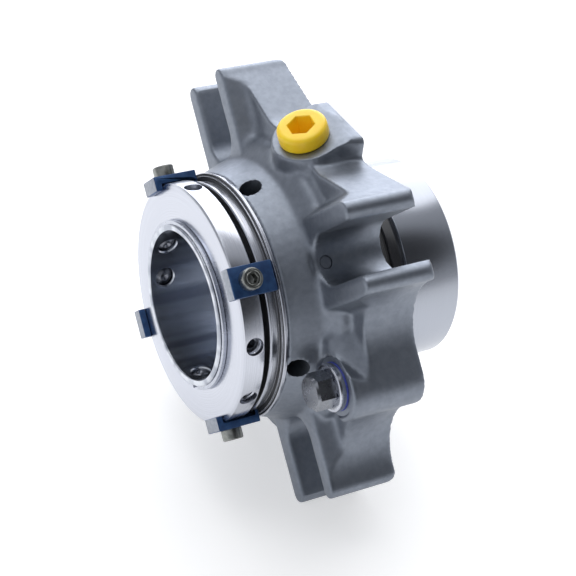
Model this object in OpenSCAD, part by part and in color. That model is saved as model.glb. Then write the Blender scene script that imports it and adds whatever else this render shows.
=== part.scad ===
// Cartridge mechanical seal for a rotating pump shaft.
// X runs along the shaft towards the pump, Z is up through the flush port.
// The origin lies on the shaft axis in the plane of the gland's mounting face.

/* [Shaft and sleeve] */
// Diameter of the shaft that the sleeve fits
bore_d = 50; // [48:0.5:51]
// Wall of the sleeve
sleeve_wall = 2; // [1.6:0.1:2.2]
// Length of the sleeve that stands out in front of the clamp ring
sleeve_nose = 2.1; // [1.8:0.1:3]
// Extra wall of the thick end of the sleeve, inside the rotary holder
sleeve_step = 2; // [1.8:0.1:2.2]
// Cord of the ring that seals the sleeve on the shaft
shaft_cord = 2.3; // [2:0.1:2.6]

/* [Clamp ring] */
// Distance from the mounting face to the front of the clamp ring
ring_front = 50.5; // [50:0.5:54]
// Width of the clamp ring along the shaft
ring_w = 7.3; // [6.6:0.1:7.6]
// Outer diameter of the clamp ring
ring_d = 80; // [79:0.5:82]
// Chamfer on both rims of the clamp ring
ring_bevel = 0.9; // [0.3:0.1:1.5]
// Thread diameter of the grub screws
grub_d = 6; // [5:0.5:6]
// Depth of the grub screws below the outside of the clamp ring
grub_sunk = 3; // [1:0.5:5]
// Thickness of the snap ring
snap_t = 1.4; // [1:0.1:1.5]
// Radial height of the snap ring
snap_h = 3.1; // [2.4:0.1:4]
// Gap between the two ends of the snap ring
snap_gap = 5.4; // [4:0.2:8]

/* [Setting clips] */
// Width of a clip across the shaft
clip_w = 9.8; // [9:0.2:12]
// Thickness of a clip
clip_t = 2.6; // [2:0.1:3.4]
// Thickness of the lip that hooks over the clamp ring
clip_lip = 2.4; // [1.6:0.1:3]
// How far the lip reaches down over the face of the clamp ring
clip_hook = 3.2; // [2:0.2:5]
// Thread diameter of a clip screw
clip_screw_d = 4; // [3:0.5:4]
// Head diameter of a clip screw
clip_head_d = 7.2; // [6.5:0.1:8]

/* [Gland hub] */
// Distance from the mounting face to the front of the hub
hub_front = 40.9; // [40.5:0.1:41.2]
// Diameter of the turned collar that the clips reach over
collar_d = 78; // [76:0.5:78]
// Depth of the groove in the collar
collar_groove = 1.6; // [1:0.1:2]
// Diameter of the turned rim behind the collar
hub_rim_d = 82.6; // [81:0.2:84]
// Diameter of the cast hub beside the stud slots
hub_root_d = 89.2; // [87:0.2:90]
// Diameter of the vent holes in the hub
vent_d = 7; // [5:0.2:7.6]

/* [Gland flange] */
// Depth of the flange from its mounting face to the front of its ribs
rib_depth = 24.4; // [22.5:0.2:26]
// Depth of the flange from its mounting face to the front of its skin
skin_depth = 17.9; // [15:0.2:19]
// Radius from the axis to the end of the stud slots
fin_r = 73; // [70:0.5:78]
// Width of a stud slot
slot_w = 16.6; // [15:0.2:18]
// Radius of the circle on which the slots bottom out
slot_r = 52.4; // [52:0.2:55]
// Wall on each side of a stud slot
fin_wall = 6.2; // [5:0.1:7]
// Rounding of the fin ends
fin_round = 2.8; // [1.5:0.1:4]
// Radius of the shoulder that rises from the hub between the slots
shoulder_r = 50.2; // [48:0.2:52]
// Distance from the mounting face to the rim of that shoulder
shoulder_depth = 21; // [19:0.2:22]
// Widening of the fin wall between its front and the skin
fin_draft = 2.6; // [1.6:0.1:4]

/* [Ports] */
// Height above the axis of the mouth of the flush port, in the middle of its pad
pad_h = 57.4; // [56:0.1:59]
// Distance of that mouth from the mounting face
port_x = 14.4; // [13.6:0.2:15.4]
// Tilt of the flush port and its pad towards the front of the seal
pad_tilt = 21.5; // [15:0.5:25]
// Radius of the boss round the flush port
boss_r = 11.8; // [11:0.1:12.6]
// Growth of that boss towards its foot
boss_flare = 4.6; // [1:0.2:6]
// Half width of the flat rib behind the boss, at the mounting face
rib_half = 12.9; // [12.2:0.1:14]
// Bore of the flush port
flush_d = 13.2; // [12:0.2:14]
// Distance from the axis to the corner faces of the side boss
boss_c = 49.5; // [49:0.5:54]
// Radius of the circle through the side port
side_r = 53.8; // [53:0.2:55]
// Bore of the side port
side_d = 10; // [8:0.2:11]
// Diameter of the machined seat round the side port
seat_d = 19; // [17.6:0.2:20]

/* [Plugs] */
// Diameter of the head of the flush plug
cap_d = 16.4; // [15.6:0.2:18]
// Thickness of the head of the flush plug
cap_t = 5.2; // [4:0.1:6.5]
// Width across the flats of the socket in the flush plug
cap_af = 7.8; // [6:0.2:9]
// Width across the flats of the hexagon plug
hex_af = 13; // [11:0.5:14]
// Height of the hexagon on the plug
hex_t = 7.8; // [5:0.2:9]
// Diameter of the washer under the hexagon plug
washer_d = 15.8; // [15:0.2:17]
// Thickness of that washer
washer_t = 1.6; // [1:0.1:2.4]

/* [Seal faces] */
// Distance from the mounting face to the plane where the faces run
face_x = 9; // [7:0.2:9.8]
// Length of the rotary face ring
rotary_len = 6.4; // [6:0.2:7]
// Length of the rotary face ring that is in its holder
rotary_in = 2.2; // [1.8:0.1:3]
// Outer diameter of the stationary face ring
face_d = 65.4; // [64.8:0.1:65.6]
// Outer diameter of the rotary holder
holder_d = 68.2; // [67.6:0.2:72]
// Length of the rotary holder
holder_len = 20.2; // [18:0.2:24]
// Travel of the spring-loaded face
float_travel = 1.5; // [0.5:0.1:2]
// Number of springs behind the face
springs_n = 8; // [6:1:10]

/* [Hidden] */

// Smoothness of round forms, and the overlap that joins or clears solids
$fn = 96;
eps = 0.02;
// Radial clearances of a seated part, a running part and a part that passes freely
seat_gap = 0.04;
run_gap = 0.08;
free_gap = 0.35;

// Directions round the axis, counted from the flush port towards the side port
SLOTS = [-45, 45, 135, 225];
GRUBS = [-15, 75, 105, 165, 255, 285];
VENTS = [0, 90];
PINS = [45, 225];
SPRINGS = [for (k = [0:springs_n - 1]) 360 / springs_n * (k + 0.5)];

// Radii from the shaft outwards
bore_r = bore_d / 2;
sleeve_r = bore_r + sleeve_wall;
thick_r = sleeve_r + sleeve_step;
ring_in_r = sleeve_r + seat_gap;
ring_r = ring_d / 2;
snap_groove = 0.8;
snap_in_r = sleeve_r - snap_groove;
collar_r = collar_d / 2;
rim_r = hub_rim_d / 2;
root_r = hub_root_d / 2;
web_bore_r = sleeve_r + 1.4;
face_r = face_d / 2;
holder_r = holder_d / 2;

// Places along the axis in front of the mounting face
ring_rear = ring_front - ring_w;
sleeve_end = ring_front + sleeve_nose;
ring_mid = ring_front - ring_w / 2;

// Turned collar: front land, groove, rear land and rim
land_w = 1.3;
groove_w = 2.1;
rim_w = 1.2;
groove_front = hub_front - land_w;
groove_rear = groove_front - groove_w;
rim_front = groove_rear - 0.5;
groove_r = collar_r - collar_groove;
rear_land_r = min(rim_r - 0.8, ring_r + 0.2);
clip_screw_in = 5.5;

// Inside of the gland: bush seat, quench chamber, web, slide bore, product chamber
bush_r = 33;
bush_seat = 4.9;
quench_r = 31.5;
quench_len = 8.2;
quench_front = hub_front - bush_seat;
web_front = quench_front - quench_len;
web_rear = 22;
slide_wall = 1.6;
slide_r = face_r + slide_wall;
slide_rear = 13.2;
chamber_r = 38.5;
vent_x = quench_front - quench_len / 2;

// Springs and the spring-loaded face
slide_in_r = sleeve_r + 0.9;
face_h = face_r - slide_in_r;
spring_r = (slide_in_r + slide_r) / 2;
spring_wire = 0.55;
spring_out = 1.75;
spring_bottom = 26.6;
holder_front = web_rear - float_travel - 0.2;
pin_r = 1.9;
pin_x = 20.3;
pin_tip = slide_r - 2.4;
cup_rear = 4;
cup_r = slide_in_r + face_h * 0.73;
cord_r = 1.2;

// Rotary holder on the thick end of the sleeve
holder_front_x = face_x + rotary_len - rotary_in;
holder_floor = face_x + rotary_len;
holder_end = holder_front_x + holder_len;
holder_web = 7;
thick_front = holder_floor + holder_web;
rotary_in_r = sleeve_r + 2.2;
rotary_groove = 3.2;
cup_wall = 1.4;
rotary_r = holder_r - cup_wall;
drive_r = 1.5;
drive_in = 1.9;
drive_len = 5.7;
drive_ring = (rotary_in_r + rotary_r) / 2;

// Slots, fins and skin of the flange
slot_h = slot_w / 2;
fin_h = slot_h + fin_wall;
foot_h = fin_h + fin_draft;
slot_bevel = 0.8;
slot_run = 6;
flank_a = 50.5;
flank_b = 26.2;
scoop_r = 19.5;
corner_r = 8.6;
web_r = 54.9;
web_scoop = 16;
web_tuck = 0.8;
web_a = sqrt(web_r * web_r - pow(fin_h + web_scoop, 2)) - web_tuck;
vent_reach = root_r + 1.8 - web_bore_r;
side_half_front = 11.2;
side_half_mid = 15.2;
side_half_rear = 16;
side_front = rib_depth + 1.2;
seat_cut = 0.6;
seat_x = side_front - seat_cut;
orifice_d = 5;
orifice_x = slide_rear - orifice_d / 2 - 0.2;
port_depth = 11;
port_reach = (pad_h - chamber_r) / cos(pad_tilt) + 3;
rib_top = pad_h + 4;
rib_chamfer = 2.2;
boss_shift = 1.3;
plug_gap = 1.5;
cap_turn = 23;
cap_edge = 0.6;
side_floor = 9;
side_plug_len = 9;
cap_socket = 2;
gasket_t = 1.5;
gasket_recess = 0.6;
gasket_out = slot_r - slot_h - 1.2;
gasket_in = chamber_r + 0.5;

// Turns a solid drawn along Z so that it lies along X
module along_x() {
    rotate([0, 90, 0]) children();
}

// A turned form from points of [radius, place along X]
module turned(points) {
    along_x() rotate_extrude() polygon(points);
}

// A plain ring between two places along X
module ring(x0, x1, inner, outer) {
    turned([[inner, x0], [outer, x0], [outer, x1], [inner, x1]]);
}

// An O-ring whose cord has its middle at radius r
module o_ring(x, r, cord) {
    along_x() translate([0, 0, x]) rotate_extrude() translate([r, 0]) circle(r = cord, $fn = 32);
}

// A section drawn in the Y and Z plane, drawn out from x0 to x1
module plate(x0, x1) {
    translate([x0, 0, 0]) rotate([90, 0, 90]) linear_extrude(x1 - x0) children();
}

// Copies children, drawn at the top, to the given directions round the axis
module around(angles) {
    for (a = angles) rotate([a, 0, 0]) children();
}

// One quarter of the flange, drawn between slots that lie along x and y
module quarter(k) {
    rotate(90 * k + 45) children();
}

// A fin pair with rounded ends, along x
module fin_pair() {
    translate([0, -fin_h]) square([fin_r - fin_round, 2 * fin_h]);
    translate([0, fin_round - fin_h]) square([fin_r, 2 * (fin_h - fin_round)]);
    for (side = [-1, 1]) translate([fin_r - fin_round, side * (fin_h - fin_round)]) circle(r = fin_round);
}

// Straight flanks that run from the fins to the boss of the flush port
flank_start = [fin_r - fin_round, fin_h];
flank_end = [flank_a, flank_b];

module flush_skin() {
    polygon([[0, 0], [fin_r - fin_round, 0], flank_start, flank_end, [flank_b, flank_a],
        [fin_h, fin_r - fin_round], [0, fin_r - fin_round]]);
}

// A concave sweep of radius r from the side of a fin to a wall at distance a
module scoop(a, r) {
    difference() {
        square([a + r, fin_h + r]);
        translate([a + r, fin_h + r]) circle(r = r);
    }
}

// Square boss corner, with a concave sweep to the fins on both sides
module side_skin() {
    square([boss_c - corner_r, boss_c]);
    square([boss_c, boss_c - corner_r]);
    translate([boss_c - corner_r, boss_c - corner_r]) circle(r = corner_r);
    scoop(boss_c, scoop_r);
    mirror([1, -1]) scoop(boss_c, scoop_r);
}

// Plain quarter without a port
module plain_skin() {
    intersection() {
        circle(r = web_r);
        square(web_r);
    }
    scoop(web_a, web_scoop);
    mirror([1, -1]) scoop(web_a, web_scoop);
}

module flange_outline() {
    for (k = [0:3]) rotate(90 * k + 45) fin_pair();
    quarter(0) flush_skin();
    quarter(1) side_skin();
    for (k = [2, 3]) quarter(k) plain_skin();
}

// Walls of the four slots, which stand in front of the skin and widen towards it
module slot_walls() {
    intersection() {
        plate(-rib_depth, -skin_depth + eps) flange_outline();
        around(SLOTS) linear_extrude(fin_r + 1) polygon([[-rib_depth, fin_h], [-skin_depth + eps, foot_h],
            [-skin_depth + eps, -foot_h], [-rib_depth, -fin_h]]);
    }
}

// Cast hub with its turned collar
module hub() {
    turned([[0, 0], [0, -hub_front], [collar_r - 0.4, -hub_front], [collar_r, -hub_front + 0.4],
        [collar_r, -groove_front], [groove_r, -groove_front], [groove_r, -groove_rear],
        [rear_land_r, -groove_rear], [rear_land_r, -rim_front], [rim_r - 0.3, -rim_front],
        [rim_r, -rim_front + 0.3], [rim_r, -rim_front + rim_w], [rim_r - 0.5, -rim_front + rim_w + 0.3],
        [root_r, -rib_depth], [shoulder_r, -shoulder_depth], [shoulder_r, 0]]);
}

// Places children in the mouth of the flush port, with Z out of the port and X up its pad
module at_flush_port() {
    translate([-port_x, 0, pad_h]) rotate([0, -pad_tilt, 0]) children();
}

// Round boss of the flush port and the flat rib behind it, both cut off by the tilted pad
module flush_boss() {
    boss_len = pad_h - slide_r;
    wide = rib_half + 0.5;
    difference() {
        union() {
            intersection() {
                at_flush_port() translate([boss_shift, 0, -boss_len])
                    cylinder(h = boss_len + 1, r1 = boss_r + boss_flare, r2 = boss_r);
                translate([-hub_front, -fin_r, 0]) cube([hub_front, 2 * fin_r, fin_r]);
            }
            intersection() {
                plate(-port_x, 0) polygon([[-wide, 0], [-wide, rib_top - rib_chamfer],
                    [rib_chamfer - wide, rib_top], [wide - rib_chamfer, rib_top],
                    [wide, rib_top - rib_chamfer], [wide, 0]]);
                linear_extrude(fin_r) polygon([[boss_shift - port_x, boss_r - 0.3], [0, rib_half],
                    [0, -rib_half], [boss_shift - port_x, 0.3 - boss_r]]);
            }
        }
        at_flush_port() translate([-fin_r, -fin_r, 0]) cube([2 * fin_r, 2 * fin_r, fin_r]);
    }
}

// Square boss of the side port, wider at the mounting face
module side_boss() {
    intersection() {
        plate(-side_front, 0) quarter(1) side_skin();
        rotate([90, 0, 0]) linear_extrude(fin_r + boss_c) polygon([[-side_front, side_half_front],
            [-shoulder_depth, side_half_mid], [0, side_half_rear], [0, -side_half_rear],
            [-shoulder_depth, -side_half_mid], [-side_front, -side_half_front]]);
    }
}

// One open stud slot with a bevelled mouth, cut from the top
module slot_cut() {
    through = rib_depth + slot_run + 1;
    translate([1 - through, 0, slot_r]) along_x() cylinder(h = through, r = slot_h);
    translate([1 - through, -slot_h, slot_r]) cube([through, slot_w, fin_r]);
    bevel_x = rib_depth + 1;
    wide = slot_h + slot_bevel + 1;
    narrow = slot_h - eps;
    depth = slot_bevel + 1 + eps;
    translate([-bevel_x, 0, slot_r]) along_x() cylinder(h = depth, r1 = wide, r2 = narrow);
    translate([0, 0, slot_r]) linear_extrude(fin_r) polygon([[-bevel_x, wide], [-bevel_x + depth, narrow],
        [-bevel_x + depth, -narrow], [-bevel_x, -wide]]);
}

// Everything bored along the axis, as one turned form
module gland_bore() {
    turned([[0, -hub_front - 1], [bush_r + 0.5, -hub_front - 1], [bush_r + 0.5, -hub_front],
        [bush_r, -hub_front + 0.5], [bush_r, -quench_front], [quench_r, -quench_front],
        [quench_r, -web_front], [web_bore_r, -web_front], [web_bore_r, -web_rear],
        [slide_r, -web_rear], [slide_r, -slide_rear], [chamber_r, -slide_rear],
        [chamber_r, -gasket_recess], [gasket_out + 0.1, -gasket_recess], [gasket_out + 0.1, 1], [0, 1]]);
}

module gland() {
    color("#8a8f9b") difference() {
        union() {
            plate(-skin_depth, 0) flange_outline();
            slot_walls();
            hub();
            flush_boss();
            side_boss();
        }
        around(SLOTS) slot_cut();
        gland_bore();
        // vents into the quench chamber
        around(VENTS) translate([-vent_x, 0, web_bore_r]) cylinder(h = vent_reach, d = vent_d);
        // flush port from the pad, and its way into the product chamber
        at_flush_port() translate([0, 0, -port_depth]) cylinder(h = fin_r, d = flush_d);
        at_flush_port() translate([0, 0, -port_reach]) cylinder(h = port_reach, d = orifice_d);
        // side port along the axis, its machined seat and its way inside
        rotate([90, 0, 0]) translate([-side_front - 1, 0, side_r]) {
            along_x() cylinder(h = side_front + 1 - side_floor, d = side_d);
            along_x() cylinder(h = seat_cut + 1, d = seat_d);
        }
        rotate([90, 0, 0]) translate([-orifice_x, 0, chamber_r - 2])
            cylinder(h = side_r - chamber_r + 2, d = orifice_d);
        // seats of the anti-rotation pins and of the springs
        around(PINS) translate([-pin_x, 0, slide_r - 2]) cylinder(h = slot_r - slide_r, r = pin_r + seat_gap);
        around(SPRINGS) translate([-spring_bottom, 0, spring_r])
            along_x() cylinder(h = spring_bottom - web_rear + 1, r = spring_out + 0.2);
    }
}

// Moulded plug with a hexagon socket, screwed into the flush port
module flush_plug() {
    color("#f4dc4a") at_flush_port() difference() {
        union() {
            cylinder(h = cap_t - cap_edge, d1 = cap_d - 0.4, d2 = cap_d);
            translate([0, 0, cap_t - cap_edge]) cylinder(h = cap_edge, d1 = cap_d, d2 = cap_d - 2 * cap_edge);
            translate([0, 0, plug_gap - port_depth])
                cylinder(h = port_depth - plug_gap + eps, d = flush_d - 2 * seat_gap);
        }
        translate([0, 0, -cap_socket]) rotate(cap_turn)
            cylinder(h = cap_t + cap_socket + 1, d = cap_af / cos(30), $fn = 6);
    }
}

// Places children in the side port, with Z along the port and out of its mouth
module at_side_port() {
    rotate([90, 0, 0]) translate([-seat_x, 0, side_r]) rotate([0, -90, 0]) children();
}

module side_plug() {
    color("#7d8794") at_side_port() {
        translate([0, 0, washer_t]) intersection() {
            cylinder(h = hex_t, d = hex_af / cos(30), $fn = 6);
            cylinder(h = hex_t, d1 = hex_af / cos(30) + hex_t, d2 = hex_af / cos(30) - 0.8);
        }
        translate([0, 0, -side_plug_len])
            cylinder(h = side_plug_len + washer_t + eps, d = side_d - 2 * seat_gap);
    }
}

module plug_washer() {
    color("#3f4a9a") at_side_port() difference() {
        cylinder(h = washer_t, d = washer_d);
        translate([0, 0, -1]) cylinder(h = washer_t + 2, d = side_d + 0.2);
    }
}

module gland_gasket() {
    color("#2a2d30") ring(-gasket_recess, gasket_t - gasket_recess, gasket_in, gasket_out);
}

// Bush that throttles a leak, with a lip in front of the gland
module throttle_bush() {
    color("#24262a") turned([[sleeve_r + free_gap, -quench_front - seat_gap],
        [bush_r - seat_gap, -quench_front - seat_gap], [bush_r - seat_gap, -hub_front - 0.3],
        [bush_r - 1, -hub_front - 0.8], [sleeve_r + free_gap, -hub_front - 0.8]]);
}

module anti_rotation_pins() {
    color("#9aa0a8") around(PINS) translate([-pin_x, 0, pin_tip])
        cylinder(h = slot_r - slot_h - 0.3 - pin_tip, r = pin_r);
}

// Each spring is drawn as a closed coil pack: a turned stack of round coils
module springs() {
    turns = 7;
    len = spring_bottom - holder_front;
    pitch = (len - 2 * spring_wire) / (turns - 1);
    mid = spring_out - spring_wire;
    color("#b8bcc2") around(SPRINGS) translate([-spring_bottom, 0, spring_r]) along_x()
        rotate_extrude($fn = 24) {
            for (k = [0:turns - 1]) translate([mid, spring_wire + k * pitch])
                circle(r = spring_wire, $fn = 12);
            translate([mid - 0.15, spring_wire]) square([0.3, len - 2 * spring_wire]);
        }
}

// Ring that carries the stationary face and slides on its O-ring in the gland
module stationary_holder() {
    land_r = slide_r - run_gap;
    groove_in = land_r - 2 * cord_r - 0.05;
    o_x = slide_rear + 1.6;
    o_half = cord_r + 0.1;
    slot_rear = pin_x - pin_r - float_travel - 0.2;
    color("#a7adb5") difference() {
        turned([[slide_in_r, -holder_front], [land_r, -holder_front], [land_r, -o_x - o_half],
            [groove_in, -o_x - o_half], [groove_in, -o_x + o_half], [land_r, -o_x + o_half],
            [land_r, -cup_rear], [cup_r, -cup_rear], [cup_r, -slide_rear + 3],
            [slide_in_r, -slide_rear + 3]]);
        around(PINS) translate([-holder_front - 1, -pin_r - 0.3, pin_tip - 0.5])
            cube([holder_front + 1 - slot_rear, 2 * pin_r + 0.6, land_r - pin_tip + 1.5]);
    }
}

module stationary_o_ring() {
    color("#1d1f21") o_ring(-slide_rear - 1.6, slide_r - run_gap - cord_r, cord_r);
}

// Stationary face: a stem in its holder, the body and the raised running nose
module stationary_face() {
    nose_in = slide_in_r + face_h * 0.23;
    nose_out = face_r - face_h / 6;
    color("#26282b") turned([[slide_in_r, -slide_rear + 3 + seat_gap],
        [cup_r - seat_gap, -slide_rear + 3 + seat_gap], [cup_r - seat_gap, -cup_rear + 0.3],
        [face_r, -cup_rear + 0.3], [face_r, face_x - 1.6], [(face_r + nose_out) / 2, face_x - 1.1],
        [nose_out, face_x - 1.1], [nose_out, face_x], [nose_in, face_x],
        [nose_in, face_x - 1.1], [slide_in_r, face_x - 1.1]]);
}

// Sleeve with the snap ring groove in front and the shaft O-ring groove behind
module sleeve() {
    o_x = holder_end - 5.6;
    half = shaft_cord / 2 + 0.3;
    color("#c3c8d0") difference() {
        turned([[bore_r, -sleeve_end + 0.3], [bore_r + 0.3, -sleeve_end], [sleeve_r - 0.4, -sleeve_end],
            [sleeve_r, -sleeve_end + 0.4], [sleeve_r, -ring_front - snap_t - 0.1],
            [snap_in_r, -ring_front - snap_t - 0.1], [snap_in_r, -ring_front], [sleeve_r, -ring_front],
            [sleeve_r, thick_front], [thick_r, thick_front], [thick_r, holder_end],
            [bore_r + 0.5, holder_end], [bore_r, holder_end - 0.5], [bore_r, o_x + half],
            [bore_r + shaft_cord, o_x + half], [bore_r + shaft_cord, o_x - half], [bore_r, o_x - half]]);
        around(GRUBS) translate([-ring_mid, 0, bore_r - 3]) cylinder(h = sleeve_wall + 6, d = grub_d + 0.4);
    }
}

module shaft_o_ring() {
    color("#1d1f21") o_ring(holder_end - 5.6, bore_r + shaft_cord / 2 + 0.03, shaft_cord / 2 - 0.03);
}

module clamp_ring() {
    color("#d9dce6") difference() {
        turned([[ring_in_r, -ring_front], [ring_r - ring_bevel, -ring_front],
            [ring_r, -ring_front + ring_bevel / 2], [ring_r, -ring_rear - 0.4],
            [ring_r - 0.4, -ring_rear], [ring_in_r, -ring_rear]]);
        around(GRUBS) translate([-ring_mid, 0, bore_r]) cylinder(h = ring_r, d = grub_d);
        around(SLOTS) translate([-ring_mid, 0, ring_r - clip_screw_in - 0.5])
            cylinder(h = clip_screw_in + 2, d = clip_screw_d);
    }
}

// Open ring that keeps the clamp ring on the sleeve, its gap at the lower side
module snap_ring() {
    color("#b9bec8") difference() {
        ring(-ring_front - snap_t, -ring_front - 0.05, snap_in_r + seat_gap, snap_in_r + snap_h);
        rotate([152, 0, 0]) translate([-ring_front - snap_t - 1, -snap_gap / 2, 0])
            cube([snap_t + 2, snap_gap, ring_r]);
    }
}

module grub_screws() {
    top_r = ring_r - grub_sunk;
    color("#6d7077") around(GRUBS) translate([-ring_mid, 0, 0]) difference() {
        translate([0, 0, bore_r + 0.4]) cylinder(h = top_r - bore_r - 0.4, d = grub_d - 2 * seat_gap);
        translate([0, 0, top_r - grub_d / 2]) cylinder(h = grub_d, d = grub_d / 2 / cos(30), $fn = 6);
        translate([0, 0, bore_r - 1]) cylinder(h = 2.2, d1 = grub_d * 0.7, d2 = 0.6);
    }
}

// A clip: a flat bar with a lip over the ring and a tongue in the collar groove
module clip(angle) {
    low = ring_r + 0.05;
    front = ring_front + clip_lip + 0.1;
    rear = groove_rear + 0.4;
    tongue = groove_r + 0.6;
    color("#24345c") rotate([angle, 0, 0]) difference() {
        translate([0, clip_w / 2, 0]) rotate([90, 0, 0]) linear_extrude(clip_w) polygon([
            [-front, low - clip_hook], [-ring_front - 0.1, low - clip_hook], [-ring_front - 0.1, low],
            [-groove_front + 0.3, low], [-groove_front + 0.3, tongue], [-rear, tongue], [-rear, low + clip_t],
            [-front + 0.3, low + clip_t], [-front, low + clip_t - 0.3]]);
        translate([-ring_mid, 0, low - 1]) cylinder(h = clip_t + 2, d = clip_screw_d + 0.4);
    }
}

module setting_clip_1() { clip(SLOTS[0]); }
module setting_clip_2() { clip(SLOTS[1]); }
module setting_clip_3() { clip(SLOTS[2]); }
module setting_clip_4() { clip(SLOTS[3]); }

module clip_screws() {
    seat = ring_r + 0.05 + clip_t;
    head_t = clip_screw_d;
    color("#8d9096") around(SLOTS) translate([-ring_mid, 0, 0]) difference() {
        union() {
            translate([0, 0, ring_r - clip_screw_in])
                cylinder(h = seat - ring_r + clip_screw_in + eps, d = clip_screw_d - 2 * seat_gap);
            translate([0, 0, seat]) cylinder(h = head_t - 0.4, d = clip_head_d);
            translate([0, 0, seat + head_t - 0.4])
                cylinder(h = 0.4, d1 = clip_head_d, d2 = clip_head_d - 0.8);
        }
        translate([0, 0, seat + head_t - 2]) cylinder(h = 3, d = 3 / cos(30), $fn = 6);
    }
}

// Turned cup on the thick end of the sleeve that carries the rotary face
module rotary_holder() {
    color("#cdd1dc") difference() {
        turned([[sleeve_r + seat_gap, holder_floor], [rotary_r + seat_gap, holder_floor],
            [rotary_r + seat_gap, holder_front_x], [holder_r - 0.4, holder_front_x],
            [holder_r, holder_front_x + 0.4], [holder_r, holder_end - 0.8], [holder_r - 0.8, holder_end],
            [thick_r + seat_gap, holder_end], [thick_r + seat_gap, thick_front - seat_gap],
            [sleeve_r + seat_gap, thick_front - seat_gap]]);
        around([0, 120, 240]) translate([holder_floor - 1, 0, drive_ring]) along_x()
            cylinder(h = drive_len - drive_in + 1.2, r = drive_r);
    }
}

module rotary_face() {
    color("#1f2124") difference() {
        turned([[sleeve_r + 0.3, face_x], [rotary_r - 0.4, face_x], [rotary_r, face_x + 0.4],
            [rotary_r, holder_floor - seat_gap], [rotary_in_r, holder_floor - seat_gap],
            [rotary_in_r, holder_floor - rotary_groove], [sleeve_r + 0.3, holder_floor - rotary_groove]]);
        around([0, 120, 240]) translate([holder_floor - drive_in - 0.3, 0, drive_ring]) along_x()
            cylinder(h = drive_in + 1, r = drive_r + 0.15);
    }
}

module rotary_o_ring() {
    thick = rotary_in_r - sleeve_r;
    color("#1d1f21") o_ring(holder_floor - rotary_groove / 2, sleeve_r + thick / 2, thick / 2 - 0.02);
}

module drive_pins() {
    color("#9aa0a8") around([0, 120, 240]) translate([holder_floor - drive_in, 0, drive_ring]) along_x()
        cylinder(h = drive_len, r = drive_r - seat_gap);
}

gland();
flush_plug();
side_plug();
plug_washer();
gland_gasket();
throttle_bush();
anti_rotation_pins();
springs();
stationary_holder();
stationary_face();
stationary_o_ring();
sleeve();
shaft_o_ring();
clamp_ring();
snap_ring();
grub_screws();
setting_clip_1();
setting_clip_2();
setting_clip_3();
setting_clip_4();
clip_screws();
rotary_holder();
rotary_face();
rotary_o_ring();
drive_pins();
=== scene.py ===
import math
import bpy
import bmesh
import numpy as np
from mathutils import Matrix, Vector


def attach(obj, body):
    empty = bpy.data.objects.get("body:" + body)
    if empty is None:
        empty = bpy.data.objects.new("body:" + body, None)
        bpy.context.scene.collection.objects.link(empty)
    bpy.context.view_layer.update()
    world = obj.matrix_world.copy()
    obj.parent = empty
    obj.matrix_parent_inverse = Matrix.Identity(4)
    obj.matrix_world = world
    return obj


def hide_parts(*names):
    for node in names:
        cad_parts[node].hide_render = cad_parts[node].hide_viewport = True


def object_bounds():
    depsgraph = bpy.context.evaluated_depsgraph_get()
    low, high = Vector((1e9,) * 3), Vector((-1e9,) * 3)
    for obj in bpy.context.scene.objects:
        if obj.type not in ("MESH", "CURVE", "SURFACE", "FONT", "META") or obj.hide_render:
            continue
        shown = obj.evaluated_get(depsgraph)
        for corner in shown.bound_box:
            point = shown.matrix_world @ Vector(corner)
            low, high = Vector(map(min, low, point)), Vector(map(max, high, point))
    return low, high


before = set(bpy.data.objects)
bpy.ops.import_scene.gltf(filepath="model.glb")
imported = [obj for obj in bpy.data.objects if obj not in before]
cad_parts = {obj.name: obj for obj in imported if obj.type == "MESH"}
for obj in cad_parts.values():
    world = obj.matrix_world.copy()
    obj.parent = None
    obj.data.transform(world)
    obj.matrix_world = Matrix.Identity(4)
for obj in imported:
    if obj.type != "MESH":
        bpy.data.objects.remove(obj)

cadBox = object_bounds()
mm = 0.001
hardEdge = 32   # degrees between two faces from which their edge is drawn hard


def linearColour(hexCode):
    # sRGB to linear: c / 12.92 for the darkest, else ((c + 0.055) / 1.055) to the power 2.4
    parts = [int(hexCode[i:i + 2], 16) / 255 for i in (1, 3, 5)]
    return tuple(c / 12.92 if c <= 0.04045 else ((c + 0.055) / 1.055) ** 2.4 for c in parts) + (1.0,)


def addNode(tree, kind, settings=None, values=None, links=None):
    # settings are the node's own options, values its unlinked sockets, links {socket: (node, output)}
    node = tree.nodes.new(kind)
    for key, value in (settings or {}).items():
        setattr(node, key, value)
    for key, value in (values or {}).items():
        node.inputs[key].default_value = value
    for key, (source, output) in (links or {}).items():
        tree.links.new(source.outputs[output], node.inputs[key])
    return node


def startMaterial(name, **shader):
    # a new material with its Principled shader set, and Object coordinates ready
    material = bpy.data.materials.new(name)
    material.use_nodes = True
    tree = material.node_tree
    principled = tree.nodes["Principled BSDF"]
    for key, value in shader.items():
        principled.inputs[key.replace("_", " ")].default_value = value
    place = addNode(tree, "ShaderNodeTexCoord")
    return material, tree, principled, place


def grey(value):
    # an even grey of that linear value
    return (value, value, value, 1.0)


def mottle(tree, place, size, low, high, socket, detail):
    # a noise of one real size in mm drives a colour or a roughness between two ends
    noise = addNode(tree, "ShaderNodeTexNoise", {}, {"Scale": 1 / (size * mm), "Detail": detail},
                    {"Vector": (place, "Object")})
    ramp = addNode(tree, "ShaderNodeValToRGB", {}, {}, {"Fac": (noise, "Fac")})
    for element, at, colour in zip(ramp.color_ramp.elements, (0.35, 0.65), (low, high)):
        element.position, element.color = at, colour
    tree.links.new(ramp.outputs["Color"], socket)


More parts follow.
